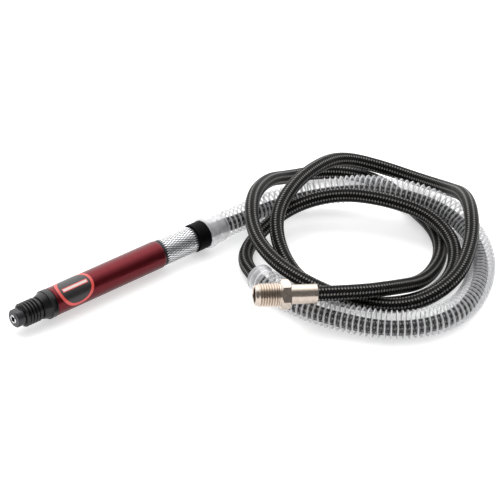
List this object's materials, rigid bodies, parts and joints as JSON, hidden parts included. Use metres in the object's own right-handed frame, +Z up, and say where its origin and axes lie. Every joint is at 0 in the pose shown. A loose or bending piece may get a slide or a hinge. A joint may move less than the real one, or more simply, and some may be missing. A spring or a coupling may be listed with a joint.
{
  "type": "pneumatic pencil die grinder",
  "caption": "Slim pencil-type air die grinder: collet nose, anodised barrel, knurled twist throttle, ribbed clear exhaust hose with a braided air hose and a male pipe-thread inlet.",
  "frame": {"origin": "on the surface that the tool lies on, under the middle of the tool without its hoses", "axes": "+X along the tool from the collet towards the hoses, +Z up"},
  "size_m": [0.2773, 0.1795, 0.031],
  "materials": {
    "black_steel": "black oxide, satin",
    "tool_steel": "ground and hardened",
    "bearing_steel": "polished",
    "bearing_cage": "moulded",
    "vane": "phenolic resin, ground",
    "cast_plate": "machined",
    "red_anodised": "red anodised aluminium",
    "knurled_metal": "diamond knurled",
    "valve_alloy": "turned",
    "brass": "turned",
    "seal_rubber": "smooth",
    "felt": "pressed felt",
    "black_collar": "satin",
    "clear_vinyl": "clear, moulded",
    "braided_hose": "black braid with pale tracer threads",
    "nickel": "nickel plated",
    "spring_steel": "hardened"
  },
  "bodies": {
    "root": {"nose_housing": "black_steel", "nose_seal": "felt", "housing_oring": "seal_rubber", "preload_spring": "spring_steel", "front_bearing_outer": "bearing_steel", "rear_bearing_outer": "bearing_steel", "motor_housing": "red_anodised", "front_plate": "cast_plate", "motor_cylinder": "cast_plate", "cylinder_pin": "tool_steel", "rear_plate": "cast_plate", "valve_body": "valve_alloy", "sleeve_orings": "seal_rubber", "rear_collar": "black_collar", "exhaust_cuff": "clear_vinyl", "silencer_felt": "felt", "hose_crimp": "brass", "air_nipple": "brass", "exhaust_hose": "clear_vinyl", "air_hose": "braided_hose", "hose_ferrule": "nickel", "inlet_fitting": "nickel"},
    "rotor": {"rotor_spindle": "tool_steel", "vane_1": "vane", "vane_2": "vane", "vane_3": "vane", "vane_4": "vane", "front_bearing_inner": "bearing_steel", "rear_bearing_inner": "bearing_steel"},
    "front_cage": {"front_bearing_cage": "bearing_cage", "front_bearing_balls": "bearing_steel"},
    "rear_cage": {"rear_bearing_cage": "bearing_cage", "rear_bearing_balls": "bearing_steel"},
    "collet_body": {"collet": "tool_steel"},
    "nut": {"collet_nut": "black_steel"},
    "throttle": {"throttle_sleeve": "knurled_metal", "drive_pin": "tool_steel", "valve_spool": "brass", "spool_orings": "seal_rubber"}
  },
  "joints": [
    {"name": "rotor_spin", "type": "hinge", "parent": "root", "child": "rotor", "pos_m": [-0.0218, 0, 0.0095], "axis": [1, 0, 0], "continuous": true},
    {"name": "front_cage_spin", "type": "hinge", "parent": "root", "child": "front_cage", "pos_m": [-0.0436, 0, 0.0095], "axis": [1, 0, 0], "continuous": true},
    {"name": "rear_cage_spin", "type": "hinge", "parent": "root", "child": "rear_cage", "pos_m": [0.0032, 0, 0.0095], "axis": [1, 0, 0], "continuous": true},
    {"name": "collet_slide", "type": "slide", "parent": "rotor", "child": "collet_body", "axis": [-1, 0, 0], "range_m": [0, 0.00075]},
    {"name": "nut_turn", "type": "hinge", "parent": "collet_body", "child": "nut", "pos_m": [-0.0688, 0, 0.0095], "axis": [-1, 0, 0], "range_deg": [0, 360]},
    {"name": "throttle_twist", "type": "hinge", "parent": "root", "child": "throttle", "pos_m": [0.03955, 0, 0.0095], "axis": [1, 0, 0], "range_deg": [0, 90]}
  ],
  "couplings": [
    {"joint": "front_cage_spin", "follows": "rotor_spin", "ratio": 0.38},
    {"joint": "rear_cage_spin", "follows": "rotor_spin", "ratio": 0.3769},
    {"joint": "nut_turn", "follows": "collet_slide", "rad_per_m": 8377.6}
  ]
}
